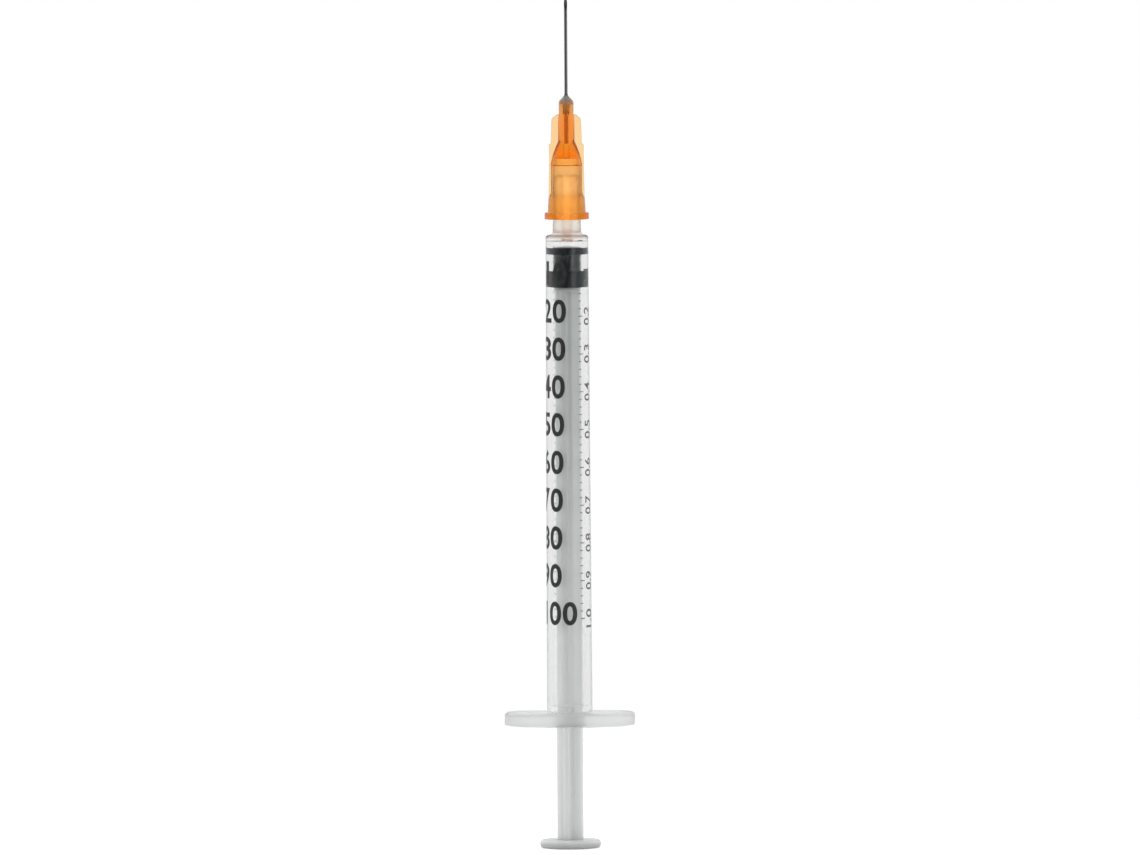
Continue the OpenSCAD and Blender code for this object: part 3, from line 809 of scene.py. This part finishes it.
scale = {
    "middleZ": 95.7, "zeroZ": barrel["boreEnd"], "pitch": 5.895, "lift": 0.012, "film": 0.012, "sliceW": 0.12,
    "capShare": 0.7, "digitH": 3.68, "digitW": 2.3, "oneW": 0.9, "advance": 2.55, "weight": 0.13,
    "leftTurn": -86.3, "drift": 0.298, "driftZ": 83.9,
    "unitLine": 0.2, "unitFrom": -104, "unitShort": 1.0, "unitLong": 1.5,
    "mlLine": 0.12, "mlFrom": 31, "mlShort": 0.45, "mlLong": 0.8,
    "mlDigitH": 1.6, "mlW": 2.9, "mlTurn": 49, "mlWeight": 0.03,
    "darkInk": (0.010, 0.012, 0.011), "paleInk": (0.055, 0.060, 0.056),
    "mlDarkInk": (0.10, 0.105, 0.10), "mlPaleInk": (0.22, 0.225, 0.22),
}


def makeInk(name, dark, pale):
    # Screen-printed ink, mottled where the screen left less of it
    material, tree, shader = newMaterial(name, IOR=1.5)
    flow = placeGroup(tree, flowGroup, Scale=3800, Stretch=1)
    grain = placeGroup(tree, flowGroup, Scale=7000, Stretch=1, Low=0.4, High=0.65)
    addSurface(tree, shader, blendColours(tree, flow, dark, pale), grain, grain, depth=0.000006)
    # The tube's inner wall would mirror it, which haze hides on the real one
    ray = tree.nodes.new("ShaderNodeLightPath").outputs
    tree.links.new(addMath(tree, "LESS_THAN", ray["Glossy Depth"], 0.5), shader.inputs["Alpha"])
    return material


def numberMesh(text, width, height, weight):
    # A number as a thin solid in the xy plane, of a given width and height, its left edge at x = 0
    curve = bpy.data.curves.new("number", "FONT")
    curve.body = text
    curve.size = height / scale["capShare"]
    curve.offset = weight
    curve.extrude = scale["film"] / 2
    curve.resolution_u = 6
    holder = bpy.data.objects.new("number", curve)
    bpy.context.scene.collection.objects.link(holder)
    depsgraph = bpy.context.evaluated_depsgraph_get()
    mesh = bpy.data.meshes.new_from_object(holder.evaluated_get(depsgraph))
    bm = bmesh.new()
    bm.from_mesh(mesh)
    bpy.data.objects.remove(holder)
    bpy.data.curves.remove(curve)
    bpy.data.meshes.remove(mesh)
    low = Vector([min(v.co[i] for v in bm.verts) for i in range(3)])
    high = Vector([max(v.co[i] for v in bm.verts) for i in range(3)])
    bmesh.ops.translate(bm, verts=bm.verts, vec=-low)
    bmesh.ops.scale(bm, verts=bm.verts, vec=(width / (high.x - low.x), height / (high.y - low.y), 1))
    bmesh.ops.remove_doubles(bm, verts=bm.verts, dist=weldGap)
    return bm


def wrapOnTube(bm, turn, z):
    # Bends a flat mesh round the tube, its origin at an angle from the front and a height
    first, last = min(v.co.x for v in bm.verts), max(v.co.x for v in bm.verts)
    cuts = int((last - first) / scale["sliceW"])
    for i in range(1, cuts):
        sliceMesh(bm, (first + (last - first) * i / cuts, 0, 0), (1, 0, 0))
    for vert in bm.verts:
        height = z + vert.co.y
        radius = tubeRadius(height)
        angle = math.radians(turn) + vert.co.x / radius
        radius += scale["lift"] + vert.co.z
        vert.co = Vector((radius * math.sin(angle), -radius * math.cos(angle), height))


def mergeMeshes(parts):
    # Puts parts that don't touch into one mesh
    whole = bmesh.new()
    for bm in parts:
        mesh = bpy.data.meshes.new("part")
        bm.to_mesh(mesh)
        bm.free()
        whole.from_mesh(mesh)
        bpy.data.meshes.remove(mesh)
    return whole


def numberTurn(z):
    # Angle of a number's left edge, which drifts a little round the tube with the height
    return scale["leftTurn"] - scale["drift"] * (scale["driftZ"] - z)


def makeNumbers(ink):
    # Tens of units, each digit in a place of its own width
    parts = []
    for units in range(10, 101, 10):
        middle = scale["middleZ"] - units / 10 * scale["pitch"]
        for place, digit in enumerate(str(units)):
            width = scale["oneW"] if digit == "1" else scale["digitW"]
            bm = numberMesh(digit, width, scale["digitH"], scale["weight"])
            shift = place * scale["advance"] + (scale["digitW"] - width) / 2
            bmesh.ops.translate(bm, verts=bm.verts, vec=(shift, 0, 0))
            wrapOnTube(bm, numberTurn(middle), middle - scale["digitH"] / 2)
            parts.append(bm)
    finishPiece("scaleNumbers", mergeMeshes(parts), ink, "barrel")


def markLine(length, width):
    # A flat mark that starts at x = 0 and is centred on y = 0
    half = width / 2
    return extrudeOutline([(0, -half), (length, -half), (length, half), (0, half)], scale["film"], Matrix())


def makeMarks(ink):
    # A line for every two units on the left, and for every fiftieth of a millilitre on the right
    parts = []
    for units in range(0, 101, 2):
        z = scale["zeroZ"] - units / 10 * scale["pitch"]
        whole = units % 10 == 0
        left = markLine(scale["unitLong"] if whole else scale["unitShort"], scale["unitLine"])
        bmesh.ops.scale(left, verts=left.verts, vec=(-1, 1, 1))
        bmesh.ops.recalc_face_normals(left, faces=left.faces)
        wrapOnTube(left, scale["unitFrom"], z)
        right = markLine(scale["mlLong"] if whole else scale["mlShort"], scale["mlLine"])
        wrapOnTube(right, scale["mlFrom"], z)
        parts += [left, right]
    finishPiece("scaleMarks", mergeMeshes(parts), ink, "barrel")


def makeFractions(ink):
    # Tenths of a millilitre, which read along the tube
    parts = []
    width, height = scale["mlW"], scale["mlDigitH"]
    along = Matrix.Translation((height, 0, 0)) @ Matrix.Rotation(math.pi / 2, 4, "Z")
    for tenths in range(1, 11):
        bm = numberMesh(f"{tenths / 10:.1f}", width, height, scale["mlWeight"])
        bmesh.ops.translate(bm, verts=bm.verts, vec=(-width / 2, 0, 0))
        bmesh.ops.transform(bm, matrix=along, verts=bm.verts)
        wrapOnTube(bm, scale["mlTurn"], scale["zeroZ"] - tenths * scale["pitch"])
        parts.append(bm)
    finishPiece("scaleFractions", mergeMeshes(parts), ink, "barrel")


scaleInk = makeInk("scaleInk", scale["darkInk"], scale["paleInk"])
makeNumbers(scaleInk)
makeMarks(scaleInk)
makeFractions(makeInk("greyInk", scale["mlDarkInk"], scale["mlPaleInk"]))


# Studio

studio = {
    "elevation": 3.5, "distance": 3.0, "frameW": 0.1777, "targetX": 0.0003, "targetZ": 0.0656, "lean": 0.35,
    "sensorW": 36, "clipNear": 0.05, "clipFar": 20, "floorR": 0.3, "floorFade": 0.07, "floorDrop": 0.00005,
    "floorLift": 0.45, "lampZ": 0.065, "insideGain": 0.75, "gapFrom": 4, "gapTo": 8, "gapGain": 1.9,
    # Light round the syringe as (angle, level): 0 is the front, and the angle grows to the right
    "shineRing": [(-180, 0.92), (-110, 0.88), (-85, 0.6), (-55, 0.25), (-20, 0.07), (22, 0.07), (28, 1.0),
                  (46, 1.0), (54, 0.25), (85, 0.5), (110, 0.88), (180, 0.92)],
    "lightRing": [(-180, 1.15), (-150, 1.75), (-115, 1.2), (-80, 0.65), (-40, 0.48), (0, 0.42), (40, 0.6),
                  (80, 0.85), (130, 1.05), (180, 1.15)],
}
lamps = {
    "keyLamp": {"turn": -150, "rise": 35, "distance": 1.2, "size": 0.9, "power": 1.2},
    "topLamp": {"turn": 20, "rise": 75, "distance": 1.1, "size": 0.8, "power": 0.9},
}


def lookFrom(turn, rise, distance, target):
    # Place of a camera or lamp that looks at a target, by its turn from the front and its rise
    a, e = math.radians(turn), math.radians(rise)
    back = Vector((math.sin(a) * math.cos(e), -math.cos(a) * math.cos(e), math.sin(e)))
    look = (-back).to_track_quat("-Z", "Y").to_matrix().to_4x4()
    return Matrix.Translation(target + back * distance) @ look


def makeCamera():
    # Far away, so that upright lines stay parallel, as in the photograph
    data = bpy.data.cameras.new("photoCamera")
    data.sensor_width = studio["sensorW"]
    data.lens = studio["sensorW"] * studio["distance"] / studio["frameW"]
    data.clip_start, data.clip_end = studio["clipNear"], studio["clipFar"]
    camera = bpy.data.objects.new("photoCamera", data)
    bpy.context.scene.collection.objects.link(camera)
    target = Vector((studio["targetX"], 0, studio["targetZ"]))
    camera.matrix_world = (lookFrom(0, studio["elevation"], studio["distance"], target)
                           @ Matrix.Rotation(math.radians(-studio["lean"]), 4, "Z"))
    bpy.context.scene.camera = camera


def makeFloor():
    # A sheet of pale paper, just clear of the disk
    bm = bmesh.new()
    bmesh.ops.create_circle(bm, cap_ends=True, radius=studio["floorR"], segments=96)
    bmesh.ops.translate(bm, verts=bm.verts, vec=(0, 0, -studio["floorDrop"]))
    mesh = bpy.data.meshes.new("floor")
    bm.to_mesh(mesh)
    bm.free()
    floor = bpy.data.objects.new("floor", mesh)
    bpy.context.scene.collection.objects.link(floor)
    material, tree, shader = newMaterial("paperFloor", **{
        "Base Color": (0.9, 0.9, 0.9, 1), "Roughness": 0.9, "Emission Color": (1, 1, 1, 1)})
    # The paper fades into the white round it, and a view from below looks through it
    reach = addVector(tree, "LENGTH", tree.nodes.new("ShaderNodeTexCoord").outputs["Object"])
    fade = addRange(tree, reach, studio["floorFade"], studio["floorR"], 1, 0, kind="SMOOTHSTEP")
    front = addMath(tree, "SUBTRACT", 1, tree.nodes.new("ShaderNodeNewGeometry").outputs["Backfacing"])
    tree.links.new(addMath(tree, "MULTIPLY", fade, front), shader.inputs["Alpha"])
    # The camera sees the paper and the shadow on it a little lighter
    seen = tree.nodes.new("ShaderNodeLightPath").outputs["Is Camera Ray"]
    tree.links.new(addMath(tree, "MULTIPLY", seen, studio["floorLift"]), shader.inputs["Emission Strength"])
    mesh.materials.append(material)


def addRing(tree, turn, marks):
    # A level that changes with the turn round the syringe
    node = tree.nodes.new("ShaderNodeValToRGB")
    ramp = node.color_ramp
    while len(ramp.elements) < len(marks):
        ramp.elements.new(0.5)
    for element, (degrees, level) in zip(ramp.elements, marks):
        element.position = (degrees + 180) / 360
        element.color = (level, level, level, 1)
    tree.links.new(turn, node.inputs["Fac"])
    return node.outputs["Color"]


def makeWorld():
    # Soft light from all round. Depths count a ray's turns, so 0.5 lies between none and one
    world = bpy.data.worlds.new("studio")
    bpy.context.scene.world = world
    world.use_nodes = True
    tree = world.node_tree
    tree.nodes.clear()
    ray = tree.nodes.new("ShaderNodeLightPath").outputs
    # Turn round the syringe: 0 and 1 are the back, 0.5 is the front
    parts = tree.nodes.new("ShaderNodeSeparateXYZ")
    tree.links.new(tree.nodes.new("ShaderNodeTexCoord").outputs["Generated"], parts.inputs[0])
    front = addMath(tree, "MULTIPLY", parts.outputs["Y"], -1)
    angle = addMath(tree, "ARCTAN2", parts.outputs["X"], front)
    turn = addRange(tree, angle, -math.pi, math.pi)
    # Dull surfaces are lit by one ring, and gloss and clear plastic show the other
    light, shine = addRing(tree, turn, studio["lightRing"]), addRing(tree, turn, studio["shineRing"])
    ring = blendColours(tree, addMath(tree, "LESS_THAN", ray["Diffuse Depth"], 0.5), light, shine)
    # The tube takes light from what is inside it, so that is lit a little more
    dull = addMath(tree, "GREATER_THAN", ray["Diffuse Depth"], 0.5)
    inside = addMath(tree, "MULTIPLY", dull, ray["Is Transmission Ray"])
    gain = addMath(tree, "MULTIPLY_ADD", inside, studio["insideGain"], 1)
    # Pressed together, the tip and the hub lose no light to the thin gap that is between them here
    crossed = ray["Transmission Depth"]
    pressed = addRange(tree, crossed, studio["gapFrom"], studio["gapTo"], 1, studio["gapGain"])
    # The camera sees white, and so does what it sees through clear plastic
    turned = addMath(tree, "ADD", ray["Diffuse Depth"], ray["Glossy Depth"])
    straight = addMath(tree, "LESS_THAN", turned, 0.5)
    through = addMath(tree, "MULTIPLY", ray["Is Transmission Ray"], straight)
    seen = addMath(tree, "MAXIMUM", ray["Is Camera Ray"], through)
    mix = tree.nodes.new("ShaderNodeMixShader")
    tree.links.new(seen, mix.inputs["Fac"])
    sides = ((1, ring, addMath(tree, "MULTIPLY", gain, pressed)), (2, (1, 1, 1, 1), pressed))
    for place, colour, strength in sides:
        side = tree.nodes.new("ShaderNodeBackground")
        feed(tree, side.inputs["Color"], colour)
        feed(tree, side.inputs["Strength"], strength)
        tree.links.new(side.outputs[0], mix.inputs[place])
    tree.links.new(mix.outputs[0], tree.nodes.new("ShaderNodeOutputWorld").inputs["Surface"])


def makeLamps():
    # Broad and soft, and unseen by the camera
    for name, values in lamps.items():
        data = bpy.data.lights.new(name, "AREA")
        data.shape = "SQUARE"
        data.size = values["size"]
        data.energy = values["power"]
        lamp = bpy.data.objects.new(name, data)
        bpy.context.scene.collection.objects.link(lamp)
        target = Vector((0, 0, studio["lampZ"]))
        lamp.matrix_world = lookFrom(values["turn"], values["rise"], values["distance"], target)
        lamp.visible_camera = False


makeCamera()
makeFloor()
makeWorld()
makeLamps()
bpy.context.scene.view_settings.view_transform = "Standard"
print("Studio set")
